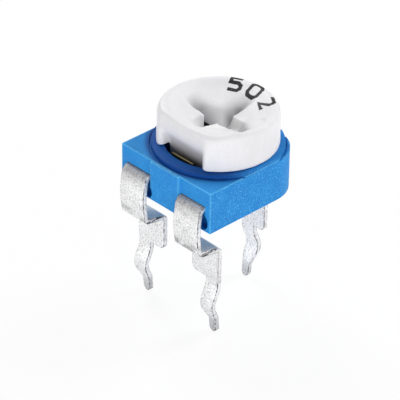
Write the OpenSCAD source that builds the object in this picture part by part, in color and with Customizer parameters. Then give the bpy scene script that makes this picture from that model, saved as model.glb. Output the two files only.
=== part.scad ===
// Top-adjust trimmer potentiometer with three snap-in leads.
// The origin is on the rotor's axis, on the circuit board's upper face, where the lead shoulders rest.
// +Z is up, -Y is the side with two leads. "level" is a height above the housing's underside.

/* [Housing] */
// Width of the housing
body_w = 6.5; // [6.3:0.05:6.8]
// From the rotor's axis to the front face
body_front = 3.62; // [3.5:0.02:3.8]
// From the rotor's axis to the back face
body_back = 3.08; // [3.0:0.02:3.3]
// Height of the housing's square part
body_h = 2.35; // [2.3:0.05:2.6]
// Radius of the two back corners
corner_r = 2; // [1.5:0.1:2.2]
// Height of the ring above the square part
ring_h = 0.17; // [0.12:0.01:0.25]
// Wall of the ring where it is whole
ring_wall = 0.64; // [0.5:0.02:0.7]
// Radius of the round cavity
cavity_r = 2.78; // [2.74:0.01:2.84]
// Thickness of the floor under the resistive board
floor_h = 0.6; // [0.5:0.02:0.7]
// How far the pad between the front leads stands out
pad_t = 0.12; // [0.05:0.01:0.2]
// Width of that pad
pad_w = 2; // [1.6:0.05:2.1]

/* [Rotor] */
// Radius of the knob at its widest
knob_r = 3.15; // [3:0.01:3.2]
// Height of the knob's white cap
knob_h = 1.98; // [1.8:0.02:2.1]
// Radius of the knob's upper edge
edge_r = 0.38; // [0.2:0.01:0.45]
// Depth of the knob's hollow top at the axis
dish_h = 0.6; // [0.5:0.02:0.7]
// Radius of the hub inside the cavity
hub_r = 2.45; // [2.3:0.01:2.5]
// Width of the notch in the knob's side
notch_w = 2.88; // [2.6:0.02:3]
// From the rotor's axis to the notch's flat
notch_y = 2.02; // [1.95:0.01:2.2]
// How far the notch's face leans outwards above the ring
notch_lean = 0.48; // [0.3:0.02:0.6]
// Length of each arm of the cross recess, from the axis
arm_l = 2.24; // [1.9:0.02:2.4]
// Width of an arm at its outer end
arm_w = 0.84; // [0.6:0.01:0.9]
// Width of an arm at the axis
arm_root_w = 1; // [0.95:0.01:1.2]
// Slope across the floors of the two deep arms, in degrees
arm_slope = 43; // [35:1:44]
// Angle that the rotor turns through, stop to stop
travel = 210; // [200:1:225]

/* [Leads] */
// Distance between the two front leads
pitch_x = 5; // [4.8:0.05:5.2]
// Distance from the front leads to the back one
pitch_y = 5; // [4.8:0.05:5.2]
// From the rotor's axis to the front leads
lead_front = 2.6; // [2.5:0.02:2.7]
// Thickness of the leads' sheet
sheet_t = 0.25; // [0.2:0.01:0.3]
// Width of the curled tab on a front lead
tab_w = 1.75; // [1.6:0.05:1.85]
// Width of the plate above a front lead's shoulder
plate_w = 1.9; // [1.8:0.02:2]
// Width of a lead's leg
leg_w = 0.88; // [0.8:0.02:0.95]
// Width of a leg at its tip
tip_w = 0.48; // [0.4:0.02:0.6]
// Height of the housing's underside above the circuit board
stand_off = 3.5; // [3.3:0.05:3.8]
// Length of a leg below its shoulder
leg_l = 3.3; // [3:0.05:3.6]
// How far a leg bows outwards below the board
leg_bow = 0.36; // [0.2:0.02:0.45]

/* [Inside] */
// Thickness of the resistive board
board_t = 0.5; // [0.4:0.02:0.55]
// Thickness of the printed films on the board
film_t = 0.05; // [0.04:0.01:0.06]
// Radius of the middle of the carbon track
track_r = 2.07; // [2:0.01:2.12]
// Width of the carbon track
track_w = 0.7; // [0.5:0.02:0.8]
// Angle from +X down to the carbon track's end
track_end = -30; // [-36:1:-26]
// Thickness of the wiper's spring sheet
wiper_t = 0.12; // [0.1:0.01:0.14]
// Outer radius of the eyelet's tube
eyelet_r = 0.38; // [0.34:0.01:0.4]
// Depth of the hub's pocket over the eyelet's head
pocket_h = 0.4; // [0.3:0.02:0.5]

/* [Hidden] */
$fn = 96;
cut = 0.5; // how far a cutting shape runs past the solid
tall = 5; // height of a cut that goes through a whole sub-part
touch_gap = 0.02; // between a moving contact and the film under it
draft = 0.03; // how much narrower the knob is at its upper edge

// Levels, counted from the housing's underside
board_top = floor_h + board_t;
film_top = board_top + film_t;
blade_top = film_top + sheet_t;
ledge_top = blade_top + 0.35;
ring_top = body_h + ring_h;
hub_bottom = film_top + 0.55;
cap_bottom = ring_top + 0.03;
cap_top = cap_bottom + knob_h;
ring_r = cavity_r + ring_wall;

// The knob's hollow top is part of a sphere that starts just inside the rounded edge
rim_r = knob_r - draft - edge_r - 0.03;
dish_r = pow(rim_r, 2) / (2 * dish_h) + dish_h / 2;
dish_bottom = cap_top - dish_h;
well_r = eyelet_r + 0.28; // room for the eyelet's head

// Stops: a lug on the back of the hub runs against the ends of a ledge in the housing
lug_half = 12;
lug_r = cavity_r - 0.06;
ledge_r = cavity_r - 0.16;
ledge_half = 180 - travel / 2 - lug_half - 0.3;

// Leads: where each strip stands across the part
front_x = pitch_x / 2;
plate_outer = front_x + leg_w / 2 + 0.02;
tab_outer = plate_outer - 0.1;
plate_back = pitch_y - lead_front;
back_blade = floor_h - sheet_t / 2;
front_blade = film_top + sheet_t / 2;
back_x0 = -0.75;
back_x1 = 1.2;
shelf_level = -1.32;

module raised() translate([0, 0, stand_off]) children();

// A ring's sector in plan: radii r0 to r1, from angle a0 to a1
module sector(r0, r1, a0, a1) {
    steps = 24;
    outer = [for (i = [0 : steps]) (a0 + (a1 - a0) * i / steps)];
    difference() {
        circle(r = r1);
        circle(r = r0);
        polygon(concat([[0, 0]], [for (a = outer) 2 * r1 * [cos(a), sin(a)]], [[0, 0]]));
    }
}

module kept_sector(r0, r1, a0, a1) sector(r0, r1, a1, a0 + 360);

/* ---- Housing ---- */

module body_plan() {
    translate([-body_w / 2, -body_front]) square([body_w, body_front + body_back - corner_r]);
    translate([corner_r - body_w / 2, -body_front])
        square([body_w - 2 * corner_r, body_front + body_back]);
    for (side = [-1, 1])
        translate([side * (body_w / 2 - corner_r), body_back - corner_r]) circle(r = corner_r);
}

// Shallow hollow behind a curled tab, a little wider than the tab
module tab_hollow() {
    hollow_h = 0.86;
    hollow_w = tab_w + 0.44;
    hollow_d = 0.35;
    round_r = 0.4;
    mid = tab_outer - tab_w / 2;
    translate([mid, -body_front + hollow_d, 0.5]) rotate([90, 0, 0]) linear_extrude(hollow_d + cut) {
        square([hollow_w - 2 * round_r, hollow_h], center = true);
        square([hollow_w, hollow_h - 2 * round_r], center = true);
        for (x = [-1, 1], z = [-1, 1])
            translate([x * (hollow_w / 2 - round_r), z * (hollow_h / 2 - round_r)])
                circle(r = round_r, $fn = 32);
    }
}

module housing() color("#3b86d4") raised() difference() {
    union() {
        linear_extrude(body_h) body_plan();
        linear_extrude(ring_top) intersection() {
            circle(r = ring_r);
            body_plan();
        }
        translate([-pad_w / 2 + 0.02, -body_front - pad_t, 0.18]) cube([pad_w, pad_t + cut, body_h - 0.18]);
    }
    // Cavity, with the stop ledge left standing at the front
    translate([0, 0, ledge_top]) cylinder(r = cavity_r, h = body_h);
    translate([0, 0, floor_h]) linear_extrude(ledge_top) difference() {
        circle(r = cavity_r);
        kept_sector(ledge_r, cavity_r + cut, -90 - ledge_half, -90 + ledge_half);
    }
    // Groove around the foot of the ring
    translate([0, 0, body_h - 0.08]) linear_extrude(cut) difference() {
        circle(r = ring_r + 0.09);
        circle(r = ring_r);
    }
    // Slots for the front blades, a little higher than the sheet
    for (side = [0, 1]) mirror([side, 0, 0]) {
        translate([tab_outer - tab_w, -body_front - cut, film_top])
            cube([tab_w, body_front + cut - 1.5, sheet_t + 0.05]);
        tab_hollow();
    }
    // Channel for the back blade, and the pocket for the eyelet's foot
    translate([back_x0, -0.8, floor_h - sheet_t]) cube([back_x1 - back_x0, body_back + cut + 0.8, sheet_t + cut]);
    translate([0, 0, floor_h - sheet_t - 0.14]) cylinder(r = 0.7, h = 0.2);
}

/* ---- Rotor ---- */

function knob_edge() = [for (i = [0 : 6]) let (a = 90 - 15 * i)
    [knob_r - draft - edge_r + edge_r * cos(a), cap_top - edge_r + edge_r * sin(a)]];

// Plan of the waste outside the rounded corner on the notch's +X side
module notch_corner() {
    round_r = 0.25;
    x = notch_w / 2;
    mid = [x + round_r, -sqrt(pow(knob_r - round_r, 2) - pow(x + round_r, 2))];
    leave = 335 + atan2(mid[1], mid[0]); // the rounding ends 25 degrees before the knob's wall
    last = mid + round_r * [cos(leave), sin(leave)];
    away = last + 0.5 * [-sin(leave), cos(leave)];
    polygon(concat([[x - 0.1, mid[1]]], arc(mid, round_r, 180, leave, 6),
        [away, [away[0], -knob_r - cut], [x - 0.1, -knob_r - cut]]));
}

// Side view of the notch: its face leans outwards above the ring
function notch_face() =
    let (low = cap_bottom + 0.1, high = cap_bottom + 1.2)
    [for (i = [0 : 8]) [-notch_y - notch_lean * ease(i / 8), low + (high - low) * i / 8]];

module rotor_notch() {
    wide = 2 * knob_r;
    bottom = hub_bottom - cut;
    outside = -knob_r - cut;
    intersection() {
        translate([0, 0, bottom]) linear_extrude(tall) {
            translate([-notch_w / 2, outside]) square([notch_w, knob_r]);
            for (side = [0, 1]) mirror([side, 0]) notch_corner();
        }
        translate([-wide / 2, 0, 0]) rotate([90, 0, 90]) linear_extrude(wide)
            polygon(concat([[-notch_y, bottom]], notch_face(), [[-notch_y - notch_lean, cap_top + cut],
                [outside, cap_top + cut], [outside, bottom]]));
    }
}

function dish_level(r) = dish_bottom + dish_r - sqrt(pow(dish_r, 2) - pow(r, 2));

// Side view of a shallow arm's floor, as [distance from the axis, level] from its root outwards
function shallow_floor(length, deep, end_step) = [[arm_root_w / 2, dish_bottom - deep],
    [length, dish_level(length) - end_step]];

// The same for a deep arm: its floor stays low as far as the knee, then climbs to the dish
function deep_floor(length) = [[arm_root_w / 2, dish_bottom - 1], [1.4, dish_bottom - 0.66],
    [length, dish_level(length) - 0.03]];

// One arm along +X. Its floor follows the side view and, where "side" is 1 or -1, slopes down
// across the arm to that side.
module recess_arm(side_view, side = 0) {
    root = side_view[0];
    last = side_view[len(side_view) - 1];
    wide = 6;
    intersection() {
        translate([0, 0, root[1] - cut]) linear_extrude(3)
            polygon([[0, -root[0]], [root[0], -root[0]], [last[0], -arm_w / 2], [last[0], arm_w / 2],
                [root[0], root[0]], [0, root[0]]]);
        translate([0, side * root[0], root[1]]) rotate([-side * arm_slope, 0, 0])
            translate([0, wide / 2 - side * root[0], -root[1]]) rotate([90, 0, 0]) linear_extrude(wide)
            polygon(concat([[0, root[1]]], side_view, [[last[0], cap_top + cut], [0, cap_top + cut]]));
    }
}

// Cross recess for the driver
module driver_recess() rotate(-3) {
    recess_arm(shallow_floor(arm_l, 0.42, 0.17));
    rotate(90) recess_arm(deep_floor(arm_l - 0.34), -1);
    rotate(180) recess_arm(deep_floor(arm_l - 0.14), 1);
    rotate(270) recess_arm(shallow_floor(notch_y - 0.35, 0.9, 0.12));
}

// Hollow that keeps the hub's wall even under the -X arm, with a window in that arm's floor
module core_hollow() {
    inner = well_r + 0.16;
    outer = hub_r - 0.55;
    roof = dish_bottom - 1.12;
    bottom = hub_bottom - cut;
    rotate(177) {
        translate([0, 0.55, 0]) rotate([90, 0, 0]) linear_extrude(1.1)
            polygon([[inner, bottom], [inner, roof - 0.35], [inner + 0.45, roof], [outer, roof],
                [outer, bottom]]);
        translate([arm_root_w / 2, 0.19, bottom]) cube([0.62, 0.26, dish_bottom - bottom - 0.1]);
    }
}

module rotor() color("#efefef") raised() {
    difference() {
        union() {
            rotate_extrude() polygon(concat([[0, cap_bottom], [0, cap_top]], knob_edge(),
                [[knob_r, cap_bottom]]));
            translate([0, 0, hub_bottom]) cylinder(r = hub_r, h = cap_bottom - hub_bottom + 0.1);
            translate([0, 0, hub_bottom - 0.2]) linear_extrude(0.7)
                kept_sector(hub_r - 0.4, lug_r, 90 - lug_half, 90 + lug_half);
        }
        translate([0, 0, dish_bottom + dish_r]) sphere(r = dish_r, $fn = 128);
        rotor_notch();
        driver_recess();
        core_hollow();
        translate([0, 0, hub_bottom - cut]) cylinder(r = well_r, h = cut + pocket_h);
    }
    wiper_pins(hub_bottom - wiper_t - 0.03, wiper_t + 0.13);
}

// Two pins that carry the wiper, from a level upwards
module wiper_pins(level, high) for (side = [-1, 1])
    translate([0, side * 0.93, level]) cylinder(r = 0.2, h = high, $fn = 32);

/* ---- Wiper ---- */

// A finger of spring sheet in its side view: from the plate at radius r0 down to a contact at r1
module finger(r0, r1, wide) {
    top = hub_bottom;
    low = film_top + touch_gap;
    lift = 0.12;
    translate([0, wide / 2, 0]) rotate([90, 0, 0]) linear_extrude(wide)
        polygon([[r0, top], [r0, top - wiper_t], [r1 - 0.12, low], [r1, low], [r1 + 0.18, low + lift],
            [r1 + 0.18, low + lift + wiper_t], [r1, low + wiper_t], [r1 - 0.08, low + wiper_t],
            [r0 + 0.1, top]]);
}

module wiper() color("#d8c48a") raised() {
    plate_r = 1.3;
    tab_x0 = -0.9;
    tab_wide = 1.5;
    tab_y = notch_y + 0.21;
    tab_top = ring_top - 0.17;
    difference() {
        union() {
            translate([0, 0, hub_bottom - wiper_t]) linear_extrude(wiper_t) {
                circle(r = plate_r);
                translate([tab_x0, -tab_y - wiper_t]) square([tab_wide, tab_y + wiper_t]);
            }
            translate([tab_x0, -tab_y - wiper_t, hub_bottom - wiper_t])
                cube([tab_wide, wiper_t, tab_top - hub_bottom + wiper_t]);
            for (side = [-1, 1]) rotate(90 + 9 * side) finger(plate_r - 0.15, track_r + 0.03, 0.36);
        }
        cylinder(r = eyelet_r + 0.05, h = tall);
        wiper_pins(0, tall);
    }
}

/* ---- Board and films ---- */

module substrate() color("#e6dfcf") raised() translate([0, 0, floor_h]) difference() {
    cylinder(r = ledge_r - 0.02, h = board_t);
    translate([0, 0, -cut]) cylinder(r = eyelet_r, h = 2);
}

module film(r0, r1, a0, a1) raised() translate([0, 0, board_top]) linear_extrude(film_t)
    kept_sector(r0, r1, a0, a1);

module resistive_track() color("#26221f") film(track_r - track_w / 2, track_r + track_w / 2, track_end,
    180 - track_end);

module right_electrode() color("#c9c9c9") film(track_r - 0.57, track_r + 0.43, track_end - 34, track_end);

module left_electrode() mirror([1, 0, 0]) right_electrode();

module collector_ring() color("#c9c9c9") raised() translate([0, 0, board_top]) difference() {
    cylinder(r = 1.15, h = film_t);
    translate([0, 0, -cut]) cylinder(r = eyelet_r, h = 2);
}

/* ---- Eyelet ---- */

module centre_eyelet() color("#c8c8cc") raised() {
    foot_bottom = floor_h - sheet_t - 0.12;
    head_bottom = hub_bottom + 0.03;
    difference() {
        union() {
            translate([0, 0, foot_bottom]) cylinder(r = eyelet_r, h = head_bottom - foot_bottom);
            translate([0, 0, foot_bottom]) cylinder(r = well_r, h = 0.12);
            translate([0, 0, head_bottom]) cylinder(r = well_r - 0.08, h = 0.12);
        }
        cylinder(r = eyelet_r - 0.14, h = tall, $fn = 48);
    }
}

/* ---- Leads ---- */

function arc(mid, r, a0, a1, n) = [for (i = [0 : n]) let (a = a0 + (a1 - a0) * i / n)
    mid + r * [cos(a), sin(a)]];

function ease(u) = (1 - cos(180 * u)) / 2;

// Points of a smooth run from p to q: sideways eased, downwards even
function blend(p, q, n) = [for (i = [1 : n]) let (u = i / n)
    [p[0] + (q[0] - p[0]) * ease(u), p[1] + (q[1] - p[1]) * u]];

// Centre line of a lead's strip as [distance from the rotor's axis, level]: blade, curled tab,
// shelf, plate and bowed leg. "face" is the housing's face, "blade" the level of the blade.
function strip(face, blade, blade_end, plate) =
    let (
        bend = 0.325,
        low_bend = 0.16,
        shelf_bend = 0.2,
        slope = 11,
        bow = 0.1,
        out = face - 0.05 + bend,
        curl_top = blade - bend,
        curl_bottom = shelf_level + low_bend,
        shelf_out = out - low_bend + low_bend * cos(slope - 90),
        shelf_in = plate + shelf_bend + shelf_bend * cos(90 + slope),
        shelf_end = curl_bottom + low_bend * sin(slope - 90) - tan(slope) * (shelf_out - shelf_in),
        bend_level = shelf_end - shelf_bend * sin(90 + slope),
        leg_top = -stand_off - 0.25,
        leg_mid = -stand_off - 0.45 * leg_l,
        leg_low = -stand_off - 0.82 * leg_l
    )
    concat(
        [[blade_end, blade]],
        arc([out - bend, curl_top], bend, 90, 0, 8),
        [for (i = [1 : 7]) [out + bow * sin(180 * i / 8), curl_top + (curl_bottom - curl_top) * i / 8]],
        arc([out - low_bend, curl_bottom], low_bend, 0, slope - 90, 6),
        arc([plate + shelf_bend, bend_level], shelf_bend, 90 + slope, 180, 6),
        [[plate, leg_top]],
        blend([plate, leg_top], [plate + leg_bow, leg_mid], 8),
        blend([plate + leg_bow, leg_mid], [plate - 0.1, leg_low], 8),
        [[plate - 0.2, -stand_off - leg_l - cut]]
    );

// Points at half a sheet's thickness to one side of a centre line
function side_of(path, shift) = [for (i = [0 : len(path) - 1])
    let (
        a = path[max(i - 1, 0)],
        b = path[min(i + 1, len(path) - 1)],
        way = (b - a) / norm(b - a)
    )
    path[i] + shift * [-way[1], way[0]]];

function reversed(list) = [for (i = [len(list) - 1 : -1 : 0]) list[i]];

module bent_strip(face, blade, blade_end, plate) {
    path = strip(face, blade, blade_end, plate);
    wide = 4;
    translate([wide, 0, 0]) rotate([90, 0, -90]) linear_extrude(2 * wide)
        polygon(concat(side_of(path, sheet_t / 2), reversed(side_of(path, -sheet_t / 2))));
}

// Front view of a lead: tab from x0 to x1, plate from p0 to p1, leg on the centre line x
module lead_front_view(x0, x1, p0, p1, x) {
    corner = 0.3;
    bevel = 0.16;
    split = shelf_level - 0.06;
    taper_top = -stand_off - 0.58 * leg_l;
    taper_end = -stand_off - 0.78 * leg_l;
    tip = -stand_off - leg_l;
    polygon(concat(
        [[x0, floor_h + body_h], [x1, floor_h + body_h], [x1, split], [p1, split], [p1, -stand_off]],
        [[x + leg_w / 2, -stand_off], [x + leg_w / 2, taper_top]],
        [[x + tip_w / 2, taper_end], [x + tip_w / 2, tip + bevel], [x + tip_w / 2 - bevel, tip]],
        [[x - tip_w / 2 + bevel, tip], [x - tip_w / 2, tip + bevel], [x - tip_w / 2, taper_end]],
        [[x - leg_w / 2, taper_top], [x - leg_w / 2, -stand_off]],
        arc([p0 + corner, corner - stand_off], corner, 270, 180, 6),
        [[p0, split], [x0, split]]
    ));
}

module lead_outline_block(x0, x1, p0, p1, x)
    translate([0, 1, 0]) rotate([90, 0, 0]) linear_extrude(8) lead_front_view(x0, x1, p0, p1, x);

module right_terminal() color("#d9d9dc") raised() intersection() {
    bent_strip(body_front, front_blade, 1.55, lead_front);
    lead_outline_block(tab_outer - tab_w, tab_outer, plate_outer - plate_w, plate_outer, front_x);
}

module left_terminal() mirror([1, 0, 0]) right_terminal();

module centre_terminal() color("#d9d9dc") raised() difference() {
    rotate(180) intersection() {
        bent_strip(body_back, back_blade, -0.75, plate_back);
        lead_outline_block(-back_x1, -back_x0, -back_x1, leg_w / 2, 0);
    }
    cylinder(r = eyelet_r, h = 2);
}

housing();
rotor();
wiper();
substrate();
resistive_track();
collector_ring();
left_electrode();
right_electrode();
centre_eyelet();
left_terminal();
right_terminal();
centre_terminal();
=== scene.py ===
from math import cos, radians, sin

import bmesh
import bpy
import numpy as np
from mathutils import Matrix, Vector
from mathutils.bvhtree import BVHTree


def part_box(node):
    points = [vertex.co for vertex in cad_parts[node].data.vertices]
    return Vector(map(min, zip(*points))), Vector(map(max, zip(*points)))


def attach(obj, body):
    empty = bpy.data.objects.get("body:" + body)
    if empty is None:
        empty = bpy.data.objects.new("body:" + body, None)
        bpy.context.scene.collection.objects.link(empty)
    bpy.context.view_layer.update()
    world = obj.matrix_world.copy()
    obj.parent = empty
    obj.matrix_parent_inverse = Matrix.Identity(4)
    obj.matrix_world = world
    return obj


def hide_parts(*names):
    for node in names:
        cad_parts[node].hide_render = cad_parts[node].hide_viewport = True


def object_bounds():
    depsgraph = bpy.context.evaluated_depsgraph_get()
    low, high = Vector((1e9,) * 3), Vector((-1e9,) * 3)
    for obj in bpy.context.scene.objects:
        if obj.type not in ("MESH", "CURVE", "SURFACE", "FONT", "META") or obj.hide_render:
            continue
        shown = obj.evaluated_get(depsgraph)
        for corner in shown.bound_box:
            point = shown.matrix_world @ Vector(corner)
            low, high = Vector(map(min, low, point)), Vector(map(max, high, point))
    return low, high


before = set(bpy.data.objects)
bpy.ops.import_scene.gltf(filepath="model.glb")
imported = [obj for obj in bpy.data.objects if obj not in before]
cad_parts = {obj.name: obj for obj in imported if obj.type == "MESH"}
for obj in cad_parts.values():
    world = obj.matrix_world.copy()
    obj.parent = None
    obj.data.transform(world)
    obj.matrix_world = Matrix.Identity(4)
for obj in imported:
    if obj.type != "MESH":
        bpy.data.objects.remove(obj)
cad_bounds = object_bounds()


# ---- Camera -----------------------------------------------------------------------------------------
# A long lens looks down on the corner between the front and the right side, turned a hair about its
# own axis. It aims at a point between the leads, just under the housing.
MM = 0.001
azimuth = radians(46.15)
elevation = radians(33.07)
roll = radians(0.84)
reach = 135.4 * MM
aim = Vector((-0.139, -1.079, 2.797)) * MM

backward = Vector((sin(azimuth) * cos(elevation), -cos(azimuth) * cos(elevation), sin(elevation)))
sideways = Vector((cos(azimuth), sin(azimuth), 0))
upright = sideways.cross(-backward)
right = sideways * cos(roll) + upright * sin(roll)
up = upright * cos(roll) - sideways * sin(roll)

lens = bpy.data.cameras.new("camera")
lens.sensor_width = 36
lens.lens = 238.7
lens.clip_start = 1 * MM
lens.clip_end = 10
camera = bpy.data.objects.new("camera", lens)
bpy.context.scene.collection.objects.link(camera)
turn = Matrix((right, up, backward)).transposed().to_4x4()
camera.matrix_world = Matrix.Translation(aim + backward * reach) @ turn
bpy.context.scene.camera = camera
bpy.context.scene.view_settings.view_transform = "Standard"


# ---- Studio -----------------------------------------------------------------------------------------
# An even sky, two soft lamps high behind the object and two low ones in front of it. A pale floor under
# the three lead tips shows as white and keeps a faint shadow.
class Wire:
    """A socket of a node tree. Arithmetic on it adds Math nodes, node() adds any other node."""

    def __init__(self, tree, socket=None):
        self.tree = tree
        self.socket = socket

    def node(self, kind, settings=None, inputs=None, out=0):
        made = self.tree.nodes.new("ShaderNode" + kind)
        for name, value in (settings or {}).items():
            setattr(made, name, value)
        for name, value in (inputs or {}).items():
            if isinstance(value, Wire):
                self.tree.links.new(value.socket, made.inputs[name])
            else:
                made.inputs[name].default_value = value
        return Wire(self.tree, made.outputs[out] if made.outputs else None)

    def place(self):
        """Where a point lies on its own piece, in millimetres."""
        point = self.node("TexCoord", out="Object")
        return self.node("VectorMath", {"operation": "SCALE"}, {0: point, "Scale": 1 / MM})

    def stretched(self, x, y, z):
        return self.node("VectorMath", {"operation": "MULTIPLY"}, {0: self, 1: (x, y, z)})

    def part(self, axis):
        return self.node("SeparateXYZ", inputs={0: self}, out=axis)

    def noise(self, scale, detail=2, roughness=0.5):
        values = {"Vector": self, "Scale": scale, "Detail": detail, "Roughness": roughness}
        return self.node("TexNoise", inputs=values)

    def smooth(self, low, high):
        """0 below low, 1 above high and smooth between them."""
        settings = {"interpolation_type": "SMOOTHSTEP"}
        return self.node("MapRange", settings, {"Value": self, "From Min": low, "From Max": high})

    def band(self, low, full, fading, high):
        """1 between full and fading, running out to 0 at low and at high."""
        return self.smooth(low, full) * (1 - self.smooth(fading, high))

    def mixed(self, first, second):
        """The first colour where the value is 0 or less, the second one where it is 1 or more."""
        return self.node("Mix", {"data_type": "RGBA"}, {0: self, 6: first, 7: second}, 2)

    def bumped(self, depth):
        return self.node("Bump", inputs={"Height": self, "Strength": 1, "Distance": depth * MM})

    def clamped(self):
        return self.node("Clamp", inputs={"Value": self})

    def math(self, operation, *others):
        return self.node("Math", {"operation": operation}, dict(enumerate((self, *others))))

    def __add__(self, other):
        return self.math("ADD", other)

    def __sub__(self, other):
        return self.math("SUBTRACT", other)

    def __rsub__(self, other):
        return self.node("Math", {"operation": "SUBTRACT"}, {0: other, 1: self})

    def __mul__(self, other):
        return self.math("MULTIPLY", other)

    def __neg__(self):
        return self.math("MULTIPLY", -1)

    def __abs__(self):
        return self.math("ABSOLUTE")

    __radd__ = __add__
    __rmul__ = __mul__


WHITE = (1, 1, 1, 1)

world = bpy.data.worlds.new("studio")
bpy.context.scene.world = world
world.use_nodes = True
world.node_tree.nodes.clear()
sky = Wire(world.node_tree)
shown = sky.node("LightPath", out="Is Camera Ray")
for ray in ("Is Glossy Ray", "Is Transmission Ray"):
    shown = shown.math("MAXIMUM", sky.node("LightPath", out=ray))
light_on_object = 0.2
strength = light_on_object + (1 - light_on_object) * shown
backdrop = sky.node("Background", inputs={"Color": WHITE, "Strength": strength})
sky.node("OutputWorld", inputs={"Surface": backdrop})


def soft_lamp(name, place, size, power):
    """A round lamp turned towards the origin, with its place and size in millimetres and its watts."""
    lamp = bpy.data.lights.new(name, "AREA")
    lamp.shape = "DISK"
    lamp.size = size * MM
    lamp.energy = power
    holder = bpy.data.objects.new(name, lamp)
    bpy.context.scene.collection.objects.link(holder)
    holder.location = Vector(place) * MM
    holder.rotation_euler = (-holder.location).to_track_quat("-Z", "Y").to_euler()


soft_lamp("back_left_lamp", (-85, 22, 88), 50, 0.075)
soft_lamp("back_right_lamp", (22, 85, 88), 50, 0.075)
soft_lamp("right_lamp", (105, -30, 22), 60, 0.06)
soft_lamp("front_lamp", (-5, -108, 22), 60, 0.05)

floor_level = cad_bounds[0][2]
floor_half = 400 * MM
corners = [(x * floor_half, y * floor_half, floor_level) for x, y in ((-1, -1), (1, -1), (1, 1), (-1, 1))]
floor_mesh = bpy.data.meshes.new("floor")
floor_mesh.from_pydata(corners, [], [(0, 1, 2, 3)])
floor = bpy.data.objects.new("floor", floor_mesh)
bpy.context.scene.collection.objects.link(floor)

paper = bpy.data.materials.new("white_floor")
paper.use_nodes = True
paper.node_tree.nodes.clear()
sheet = Wire(paper.node_tree)
lit = sheet.node("BsdfDiffuse", inputs={"Color": (0.9, 0.9, 0.9, 1)})
glow = sheet.node("Emission", inputs={"Color": WHITE, "Strength": 1})
seen = sheet.node("LightPath", out="Is Camera Ray") * 0.9
sheet.node("OutputMaterial", inputs={"Surface": sheet.node("MixShader", inputs={0: seen, 1: lit, 2: glow})})
floor_mesh.materials.append(paper)


# ---- Housing ----------------------------------------------------------------------------------------
# The body is one moulding in blue plastic: a square box with two round corners and a raised collar.
# Its edges are slightly rounded; the sides carry a fine spark-eroded grain, the front is smoother.
def rounded_copy(node, edge, finish, edge_finish=None):
    """The node's own shape in its finish, with its sharp edges rounded by a radius of about edge. The
    rounded strips can have a finish of their own."""
    merged = 0.002 * MM
    flat_angle = radians(0.5)
    sharp_angle = radians(35)
    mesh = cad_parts[node].data.copy()
    mesh.materials.clear()
    if "custom_normal" in mesh.attributes:
        mesh.attributes.remove(mesh.attributes["custom_normal"])
    shape = bmesh.new()
    shape.from_mesh(mesh)
    bmesh.ops.remove_doubles(shape, verts=shape.verts, dist=merged)
    bmesh.ops.dissolve_limit(shape, angle_limit=flat_angle, verts=shape.verts, edges=shape.edges)
    for face in shape.faces:
        face.smooth = True
    shape.to_mesh(mesh)
    shape.free()
    piece = bpy.data.objects.new(node + "_piece", mesh)
    bpy.context.scene.collection.objects.link(piece)
    mesh.materials.append(finish)
    bevel = piece.modifiers.new("edges", "BEVEL")
    bevel.width = edge * MM
    bevel.segments = 3
    bevel.limit_method = "ANGLE"
    bevel.angle_limit = sharp_angle
    if edge_finish:
        mesh.materials.append(edge_finish)
        bevel.material = 1
        bevel.use_clamp_overlap = False
    flats = piece.modifiers.new("flats", "WEIGHTED_NORMAL")
    flats.weight = 100
    bpy.context.view_layer.objects.active = piece
    for modifier in (bevel.name, flats.name):
        bpy.ops.object.modifier_apply(modifier=modifier)
    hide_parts(node)
    return piece


def material_of(name, build):
    """A material, where build(wire) returns the values and links of its shader."""
    material = bpy.data.materials.new(name)
    material.use_nodes = True
    material.node_tree.nodes.clear()
    wire = Wire(material.node_tree)
    surface = wire.node("BsdfPrincipled", inputs=build(wire))
    wire.node("OutputMaterial", inputs={"Surface": surface})
    return material


def shade(red, green, blue):
    """A colour given in the 0 to 255 steps of a screen, as the linear light that the shaders use."""
    def linear(step):
        share = step / 255
        return share / 12.92 if share <= 0.04045 else ((share + 0.055) / 1.055) ** 2.4
    return (linear(red), linear(green), linear(blue), 1)


def from_axis(x, y):
    """How far a point lies from the knob's axis."""
    return (x * x + y * y).math("SQRT")


housing_low, housing_high = (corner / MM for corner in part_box("housing"))
collar_rise = 0.17
collar_radius = 3.42
pad_rise = 0.12
pad_half = 1.0
pad_middle = 0.02
housing_edge = 0.05
underside = housing_low.z
box_top = housing_high.z - collar_rise
box_side = housing_high.x
box_front = -housing_low.y - pad_rise


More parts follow.
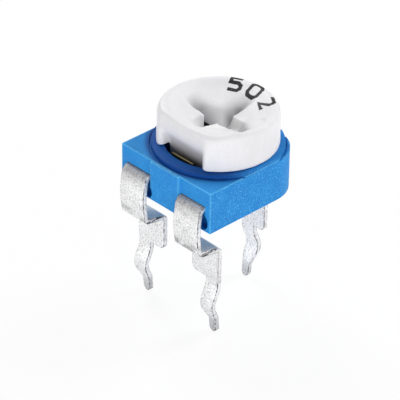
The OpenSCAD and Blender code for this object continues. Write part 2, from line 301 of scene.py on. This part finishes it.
def blue_plastic(wire):
    place = wire.place()
    x, y, z = (place.part(axis) for axis in range(3))
    normal = wire.node("NewGeometry", out="Normal")
    radius = from_axis(x, y)

    # A grain, coarse on the sides, less so on the front and faint on top; its lighter specks on the sides
    # are painted glints
    cloud = place.noise(1.3, 3)
    grain = place.noise(13, 2, 0.7)
    on_side = 1 - abs(normal.part(2)).smooth(0.3, 0.7)
    on_front = (-normal.part(1)).smooth(0.6, 0.9)
    coarse = on_side * (1 - 0.6 * on_front)
    tone = 0.1 + 0.5 * cloud + (grain - 0.5) * (0.5 + 1.5 * coarse)
    colour = tone.mixed(shade(28, 122, 203), shade(60, 168, 234))
    grain_glints = grain.smooth(0.58, 0.72) * on_side * (1 - 0.7 * on_front)
    colour = (0.7 * grain_glints).mixed(colour, shade(120, 204, 250))

    # Painted shade: a deeper blue inside the collar's rim, under the knob, and in the corner at its foot,
    # most on the front left, away from the light
    at_top = z.smooth(box_top - 0.12, box_top - 0.04)
    shaded_front_left = 1 - (x + y).smooth(0.3, 3.2)
    collar_shade = at_top * (1 - radius.smooth(collar_radius - 0.25, collar_radius)) * (0.25 + 0.75 * shaded_front_left)
    foot_shade = at_top * (1 - abs(radius - collar_radius - 0.03).smooth(0.02, 0.42)) * (0.3 + 0.7 * shaded_front_left)
    colour = (0.8 * collar_shade).mixed(colour, shade(0, 60, 146))
    colour = (0.88 * foot_shade).mixed(colour, shade(0, 50, 132))

    # Painted highlights: a lighter blue in broken patches along the box's edges, and thin lines along the
    # upright edges of the pad on its front
    side_edge = abs(x).smooth(box_side - 0.09, box_side - 0.02)
    front_edge = (-y).smooth(box_front - 0.09, box_front - 0.02)
    top_edge = z.band(box_top - 0.08, box_top - 0.03, box_top + 0.01, box_top + 0.03)
    edges = side_edge * front_edge + front_edge * top_edge + side_edge * top_edge
    edge_highlights = (edges * place.noise(7, 3, 0.7).smooth(0.15, 0.7)).clamped()
    pad_edge_highlights = 1 - abs(abs(x - pad_middle) - pad_half).smooth(0.02, 0.07)
    pad_edge_highlights *= (-y).smooth(box_front - 0.02, box_front + 0.01)
    pad_edge_highlights *= z.smooth(underside + 0.1, underside + 0.3)
    colour = (0.7 * edge_highlights + 0.5 * pad_edge_highlights).mixed(colour, shade(100, 194, 242))

    relief = grain * (0.15 + coarse) + 0.5 * place.noise(3, 2)
    return {"Base Color": colour, "Roughness": 0.42 + 0.2 * grain, "Specular IOR Level": 0.12,
            "Normal": relief.bumped(0.045)}


housing = rounded_copy("housing", housing_edge, material_of("blue_plastic", blue_plastic))
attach(housing, "base")


# ---- Knob -------------------------------------------------------------------------------------------
# The rotor is moulded in white plastic, with a dished top, a cross recess for the driver and a notch.
# Its upper edges are broadly rounded, the recess runs out softly into the dish, and the rest is crisp.
def ramp(values, low, high):
    """0 below low, 1 above high and smooth between them."""
    share = np.clip((values - low) / (high - low), 0, 1)
    return share * share * (3 - 2 * share)


def band(values, low, full, fading, high):
    """1 between full and fading, running out to 0 at low and at high."""
    return ramp(values, low, full) * (1 - ramp(values, fading, high))


def worn_copy(node, cell, settled, softness):
    """The node's shape in even small faces, moved up by settled(x, y, z) and smoothed over
    softness(x, y, z), both in millimetres."""
    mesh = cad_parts[node].data.copy()
    mesh.materials.clear()
    mesh.transform(Matrix.Scale(1 / MM, 4))
    piece = bpy.data.objects.new(node + "_piece", mesh)
    bpy.context.scene.collection.objects.link(piece)
    cells = piece.modifiers.new("cells", "REMESH")
    cells.mode = "VOXEL"
    cells.voxel_size = cell
    cells.use_smooth_shade = True
    bpy.context.view_layer.objects.active = piece
    bpy.ops.object.modifier_apply(modifier=cells.name)
    mesh = piece.data
    count = len(mesh.vertices)
    points = np.empty(count * 3)
    mesh.vertices.foreach_get("co", points)
    points = points.reshape(-1, 3)
    ends = np.empty(len(mesh.edges) * 2, int)
    mesh.edges.foreach_get("vertices", ends)
    start, end = ends.reshape(-1, 2).T

    def sum_of_neighbours(values):
        return np.bincount(start, values[end], count) + np.bincount(end, values[start], count)

    points[:, 2] += settled(*points.T)
    neighbours = sum_of_neighbours(np.ones(count))[:, None]
    needed = 2 * (softness(*points.T) / cell) ** 2
    passes = int(np.ceil(needed.max()))
    share = (needed / passes)[:, None]
    for _ in range(passes):
        total = np.stack([sum_of_neighbours(values) for values in points.T], 1)
        points += share * (total / neighbours - points)
    mesh.vertices.foreach_set("co", (points * MM).ravel())
    mesh.update()
    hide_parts(node)
    return piece


def dish_level(radius):
    """Level of the dished top at a distance from the knob's axis."""
    lowest = 7.43
    curve = 0.0785
    return lowest + curve * radius * radius


def widened_arm_drop(x, y, past_wall):
    """How far the floor of the arm along +X lies below the dish. It is deep beside the near wall and at
    the root, and rises to the dish on the far side."""
    outer = ramp(x, 0.2, 2.6)
    slope = (1 - outer) * (1 - ramp(past_wall, 0.6, 1.02)) + outer * (1 - ramp(past_wall, 0, 1.2))
    root = (1 - ramp(x + 0.3 * y, 0.6, 0.95)) * (1 - ramp(past_wall, 0.6, 1.0))
    return (0.62 - 0.3 * outer) * slope + 0.22 * root


def knob_settled(x, y, z):
    """The rim swells a little, the two deep arms sag beside their near walls, and the arm along +X
    widens outwards."""
    radius = np.hypot(x, y)
    swell = 0.065 * ramp(radius, 2.0, 2.7) * ramp(z, 7.3, 7.9)
    on_left_arm = -x > y
    along = np.where(on_left_arm, -x, y)
    across = np.where(on_left_arm, -y, x)
    sag = 0.3 * band(along, 0.9, 1.3, 1.75, 2.1) * band(across, -0.4, 0.2, 0.4, 0.46) * ramp(z, 6.4, 6.6)
    past_wall = y + 0.5 + 0.05 * x + 0.38 * np.maximum(x - 1.6, 0)
    widened = (past_wall > 0) & (y < 0.8) & (x > 0.54) & (x < 2.58 + 0.2 * (y + 0.7)) & (z > 6.9)
    arm_level = dish_level(radius) - widened_arm_drop(x, y, past_wall)
    return np.where(widened, arm_level - z, swell - sag)


def knob_softness(x, y, z):
    """The notch's brow is the softest, then the recess's back and left walls and the ends of its arms."""
    radius = np.hypot(x, y)
    notch_brow = ramp(-y, 1.3, 1.8) * (1 - ramp(abs(x), 1.9, 2.4)) * ramp(z, 6.7, 7.2)
    back_wall = ramp(y, -0.35, 0.1) * ramp(-x, -0.35, 0.1)
    back_wall *= (1 - ramp(radius, 1.9, 2.3)) * ramp(z, 6.2, 6.6)
    left_wall = ramp(-y, 0.5, 0.8) * ramp(-x, 0.25, 0.45)
    left_wall *= (1 - ramp(radius, 1.6, 2.0)) * ramp(z, 6.8, 7.1)
    arm_ends = ramp(y, -0.7, -0.4) * ramp(-x, -0.7, -0.4)
    arm_ends *= band(radius, 1.5, 1.9, 2.3, 2.6) * ramp(z, 7.2, 7.4)
    soft = 0.04 + 0.28 * notch_brow + 0.16 * (left_wall + back_wall) + 0.08 * arm_ends
    return soft * ramp(z, 5.0, 5.6) + 0.02


def white_plastic(wire):
    place = wire.place()
    x, y, z = (place.part(axis) for axis in range(3))
    radius = from_axis(x, y)
    below_dish = dish_level(radius) - z
    cloud = place.noise(1.1, 4)
    streaks = place.stretched(7, 7, 0.5).noise(1, 2)
    fine = place.noise(14, 2)
    tone = 0.35 * cloud + 0.25 * streaks + 0.6 * fine
    colour = tone.mixed(shade(213, 212, 215), shade(237, 236, 238))

    # The foot of the notch and the hub, which stand in the housing's shade
    notch_foot = (1 - z.smooth(5.9, 6.75)) * (1 - abs(x).smooth(1.25, 1.5)) * (-y).smooth(1.2, 1.6)
    inside = 1 - z.smooth(5.6, 6.1)
    colour = (0.75 * notch_foot).mixed(colour, shade(96, 94, 94))
    colour = (0.8 * inside).mixed(colour, shade(120, 118, 116))

    # Painted shade at the bottom of the recess and in the widened arm along +X, and painted light that
    # lightens the recess's front right half
    recess_floor_shade = (1 - z.smooth(6.35, 7.35)) * (1 - radius.smooth(1.9, 2.1)) * (1 - inside)
    colour = (0.15 * recess_floor_shade).mixed(colour, shade(132, 131, 136))
    past_wall = y + 0.5 + 0.05 * x
    widened_arm_shade = past_wall.band(-0.4, -0.3, 0.2, 1.3) * x.smooth(0.5, 0.7)
    widened_arm_shade *= (1 - radius.smooth(2.75, 2.85)) * below_dish.smooth(0.03, 0.18)
    colour = (0.6 * widened_arm_shade).mixed(colour, shade(84, 83, 90))
    painted_light_front_right = z.smooth(6.4, 6.6) * (1 - radius.smooth(1.3, 1.6)) * (1 - (y - x).smooth(-0.6, -0.1))
    colour = (0.7 * painted_light_front_right).mixed(colour, shade(240, 240, 240))

    # Painted shade in the two deep arms, more in the one along +Y, and a breath of painted shade in the
    # dish's back right half
    deep_arm_shade = below_dish.smooth(0, 0.6) * abs(x + y).smooth(0.1, 0.9) * y.smooth(-0.5, -0.2)
    deep_arm_shade *= (1 - x.smooth(0.25, 0.5)) * (1 - radius.smooth(2.0, 2.2))
    deep_arm_shade *= 0.36 + 0.2 * y.smooth(0.3, 0.8)
    back_right_shade = (1 - radius.smooth(1.3, 2.5)) * (x + y).smooth(0, 1) * (1 - inside)
    colour = (deep_arm_shade + 0.1 * back_right_shade).mixed(colour, shade(64, 63, 70))

    # Painted shade: the walls in the hub's window are painted nearly black, as the dark inside
    window_shade = (-x).smooth(0.42, 0.5) * (-y).smooth(0.08, 0.12) * (1 - z.smooth(6.72, 6.8))
    colour = (window_shade * (1 - radius.smooth(1.3, 1.5))).mixed(colour, shade(14, 14, 16))

    relief = 0.6 * fine + streaks + 0.5 * cloud
    return {"Base Color": colour, "Roughness": 0.38 + 0.2 * fine, "Specular IOR Level": 0.4,
            "Normal": relief.bumped(0.006)}


cell_size = 0.045
knob = worn_copy("rotor", cell_size, knob_settled, knob_softness)
knob.data.materials.append(material_of("white_plastic", white_plastic))
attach(knob, "rotor")


# ---- Digits -----------------------------------------------------------------------------------------
# Three plain digits are stamped on the rim in black ink. They stand upright for someone on the side
# with two leads, and read clockwise. The ink is a thin raised film with ragged edges.
print_radius = 2.46
stroke = 0.185
ragged = 0.05
film_rise = Vector((0, 0, 0.012)) * MM
film_depth = Vector((0, 0, 0.03)) * MM
five = [(0.3, 0.34), (-0.28, 0.34), (-0.28, 0.05), (0.16, 0.05), (0.31, -0.07), (0.31, -0.24),
        (0.18, -0.36), (-0.31, -0.36)]
nought = [(-0.2, 0.34), (0.2, 0.34), (0.34, 0.2), (0.34, -0.22), (0.2, -0.36), (-0.2, -0.36),
          (-0.34, -0.22), (-0.34, 0.2)]
two = [(-0.31, 0.34), (0.18, 0.34), (0.31, 0.22), (0.31, 0.08), (-0.29, -0.36), (0.33, -0.36)]

# Each digit's name, its path, whether that closes, and its angle about the knob's axis in degrees
digits = [("five", five, False, 116), ("nought", nought, True, 88), ("two", two, False, 57)]

knob_mesh = knob.data
knob_faces = BVHTree.FromPolygons([point.co for point in knob_mesh.vertices],
                                  [tuple(face.vertices) for face in knob_mesh.polygons])


def stroke_rows(path, closed, chance):
    """Rows of three points across a stroke along the path: left edge, middle and right edge."""
    spacing = 0.06
    least_mitre = 0.6
    if closed:
        path = path + [path[0]]
    corners = [Vector(point) for point in path]
    mitres = []
    for index, corner in enumerate(corners):
        before = corners[index - 1] if index else (corners[-2] if closed else None)
        after = corners[index + 1] if index + 1 < len(corners) else (corners[1] if closed else None)
        steps = [(corner - before).normalized()] if before else []
        steps += [(after - corner).normalized()] if after else []
        along = sum(steps, Vector((0, 0))).normalized()
        across = Vector((-along.y, along.x)) / max(least_mitre, along.dot(steps[0]))
        mitres.append((corner, across))
    spots = []
    for (start, side), (end, next_side) in zip(mitres, mitres[1:]):
        count = max(1, round((end - start).length / spacing))
        for step in range(count):
            spots.append((start.lerp(end, step / count), side.lerp(next_side, step / count)))
    if not closed:
        spots.append(mitres[-1])
    return [[middle + across * (edge * stroke * (0.5 + ragged * chance.uniform(-1, 1)))
             for edge in (-1, 0, 1)] for middle, across in spots]


def stamped(name, path, closed, angle, chance):
    """A digit's film of ink on the knob's rim, at an angle about the axis: a flat tube along the stroke,
    whose rings have three points above the rim and three below."""
    outward = Vector((cos(radians(angle)), sin(radians(angle))))
    clockwise = Vector((outward.y, -outward.x))
    above_knob = Vector((0, 0, 10))
    down = Vector((0, 0, -1))
    rings = []
    for row in stroke_rows(path, closed, chance):
        spots = [outward * (print_radius + upright) + clockwise * across for across, upright in row]
        hits = [knob_faces.ray_cast((spot.to_3d() + above_knob) * MM, down)[0] for spot in spots]
        rings.append([hit + film_rise for hit in hits] + [hit - film_depth for hit in reversed(hits)])
    count = len(rings)
    around = len(rings[0])
    faces = []
    for ring in range(count if closed else count - 1):
        here, there = ring * around, (ring + 1) % count * around
        for step in range(around):
            beside = (step + 1) % around
            faces.append((here + step, here + beside, there + beside, there + step))
    if not closed:
        for cap in (0, (count - 1) * around):
            faces += [(cap, cap + 1, cap + 4, cap + 5), (cap + 1, cap + 2, cap + 3, cap + 4)]
    mesh = bpy.data.meshes.new(name)
    mesh.from_pydata([point for ring in rings for point in ring], [], faces)
    shape = bmesh.new()
    shape.from_mesh(mesh)
    bmesh.ops.recalc_face_normals(shape, faces=shape.faces)
    shape.to_mesh(mesh)
    shape.free()
    piece = bpy.data.objects.new(name, mesh)
    bpy.context.scene.collection.objects.link(piece)
    return piece


def black_ink(wire):
    place = wire.place()
    # Patches where the ink is worn show lighter
    tone_shift = place.noise(9, 3, 0.7).smooth(0.66, 0.74)
    colour = place.noise(4, 2).mixed(shade(14, 14, 17), shade(34, 34, 38))
    return {"Base Color": (0.5 * tone_shift).mixed(colour, shade(190, 190, 192)), "Roughness": 0.5 + 0.3 * tone_shift,
            "Specular IOR Level": 0.2}


chance = np.random.default_rng(7)
ink = material_of("black_ink", black_ink)
for name, path, closed, angle in digits:
    digit = stamped("digit_" + name, path, closed, angle, chance)
    digit.data.materials.append(ink)
    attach(digit, "rotor")


# ---- Leads ------------------------------------------------------------------------------------------
# Each lead is stamped from tinned sheet and bent: a blade in the housing, a curl, a shelf and a leg.
# The tin is speckled and streaked along the strip, with dull, darker rims along its cut edges.
lead_low, lead_high = (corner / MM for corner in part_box("left_terminal"))
tip_level = lead_low.z
curl_top = lead_high.z
shelf_level = 2.2
lead_edge = 0.035


def tinned_sheet(wire):
    place = wire.place()
    z = place.part(2)
    upward = wire.node("NewGeometry", out="Normal").part(2)
    speckle = place.noise(11, 3, 0.7)
    streaks = place.stretched(10, 1, 1).noise(1, 2)
    patches = place.noise(1.6, 3)
    tone = 0.7 * speckle.smooth(0.34, 0.56) + 0.5 * streaks + 0.5 * patches - 0.2
    colour = tone.mixed(shade(172, 172, 175), shade(248, 248, 248))

    # Painted shade over the curl's top, most where it faces up, and darker patches of wear at the shelf's
    # bends and down at the tip
    curl_shade = z.smooth(curl_top - 1.1, curl_top - 0.15) * (0.6 + 0.4 * upward.smooth(0.05, 0.6))
    over_shelf = z - shelf_level
    bend = over_shelf.band(-0.3, 0.1, 0.1, 0.7)
    tip = 1 - z.smooth(tip_level + 0.4, tip_level + 1.3)
    tone_shift = curl_shade + bend * patches.smooth(0.45, 0.65) + 0.6 * tip
    colour = (0.7 * tone_shift * (0.3 + 1.2 * streaks)).mixed(colour, shade(112, 110, 114))

    # Painted light: the shelf's top is lighter and warmer, offsetting the blue light and shade from the
    # housing above it, and less metallic
    shelf_painted_light = upward.smooth(0.3, 0.6) * over_shelf.band(-0.9, -0.6, 0.8, 1.3)
    colour = (0.9 * shelf_painted_light).mixed(colour, shade(255, 247, 232))

    pits = place.noise(12, 2, 0.6).smooth(0.58, 0.7)
    colour = (0.45 * pits).mixed(colour, shade(90, 88, 92))
    relief = speckle + 0.6 * streaks - 0.5 * pits
    return {"Base Color": colour, "Roughness": 0.35 + 0.3 * speckle, "Metallic": 0.45 * (1 - shelf_painted_light),
            "Normal": relief.bumped(0.03)}


def dull_edge(wire):
    speckle = wire.place().noise(5, 3, 0.75)
    colour = speckle.smooth(0.42, 0.58).mixed(shade(44, 42, 46), shade(205, 204, 207))
    return {"Base Color": colour, "Roughness": 0.35 + 0.3 * speckle, "Metallic": 0.4,
            "Normal": speckle.bumped(0.02)}


tin = material_of("tinned_sheet", tinned_sheet)
dull_tin = material_of("dull_edge", dull_edge)
for side in ("left", "right", "centre"):
    lead = rounded_copy(side + "_terminal", lead_edge, tin, dull_tin)
    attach(lead, "base")


# ---- Wiper and eyelet -------------------------------------------------------------------------------
# The wiper is a stamped brass spring with two fingers on the track, held under the rotor. The eyelet
# is a drawn tinned tube that ties the centre lead to the board and lets the wiper turn on it.
wiper_low, wiper_high = (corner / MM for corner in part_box("wiper"))
tab_edge = wiper_high.z
tab_face = -wiper_low.y
spring_edge = 0.025
eyelet_edge = 0.02


def spring_brass(wire):
    place = wire.place()
    rolled = place.stretched(1, 12, 12).noise(1, 2)
    colour = (0.6 * rolled + 0.4 * place.noise(5, 2)).mixed(shade(196, 168, 104), shade(236, 218, 168))

    # The drive tab is darker, apart from the cut edge along its top
    level = place.part(2)
    outward = -place.part(1)
    tab_top_edge = level.smooth(tab_edge - 0.05, tab_edge - 0.01) * outward.smooth(tab_face - 0.05, tab_face - 0.01)
    darker_tab = (1 - tab_top_edge) * outward.smooth(tab_face - 0.35, tab_face - 0.15)
    colour = (0.85 * darker_tab).mixed(colour, shade(70, 60, 44))
    return {"Base Color": colour, "Roughness": 0.25 + 0.3 * rolled, "Metallic": 0.9,
            "Normal": rolled.bumped(0.004)}


wiper = rounded_copy("wiper", spring_edge, material_of("spring_brass", spring_brass))
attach(wiper, "rotor")

eyelet = rounded_copy("centre_eyelet", eyelet_edge, tin)
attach(eyelet, "base")


# ---- Board and films --------------------------------------------------------------------------------
# A ceramic disc lies on the housing's floor. A carbon track, two silver end pads and a silver contact
# ring are screen-printed and fired on it.
def fired_board(wire):
    grit = wire.place().noise(10, 3)
    colour = grit.mixed(shade(206, 198, 180), shade(232, 226, 212))
    return {"Base Color": colour, "Roughness": 0.6 + 0.2 * grit, "Normal": grit.bumped(0.01)}


def carbon_film(wire):
    grit = wire.place().noise(12, 3)
    colour = grit.mixed(shade(26, 25, 25), shade(58, 56, 54))
    return {"Base Color": colour, "Roughness": 0.45 + 0.3 * grit, "Normal": grit.bumped(0.008)}


def silver_film(wire):
    grit = wire.place().noise(12, 3)
    colour = grit.mixed(shade(176, 174, 170), shade(222, 220, 216))
    return {"Base Color": colour, "Roughness": 0.4 + 0.3 * grit, "Metallic": 0.8,
            "Normal": grit.bumped(0.008)}


silver = material_of("silver_film", silver_film)
board_edge = 0.03
film_edge = 0.01
layers = {
    "substrate": (material_of("fired_board", fired_board), board_edge, "board_ceramic"),
    "resistive_track": (material_of("carbon_film", carbon_film), film_edge, "carbon_film"),
    "collector_ring": (silver, film_edge, "silver_film"),
    "left_electrode": (silver, film_edge, "silver_film"),
    "right_electrode": (silver, film_edge, "silver_film"),
}
for node, (finish, edge, slot) in layers.items():
    layer = rounded_copy(node, edge, finish)
    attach(layer, "base")
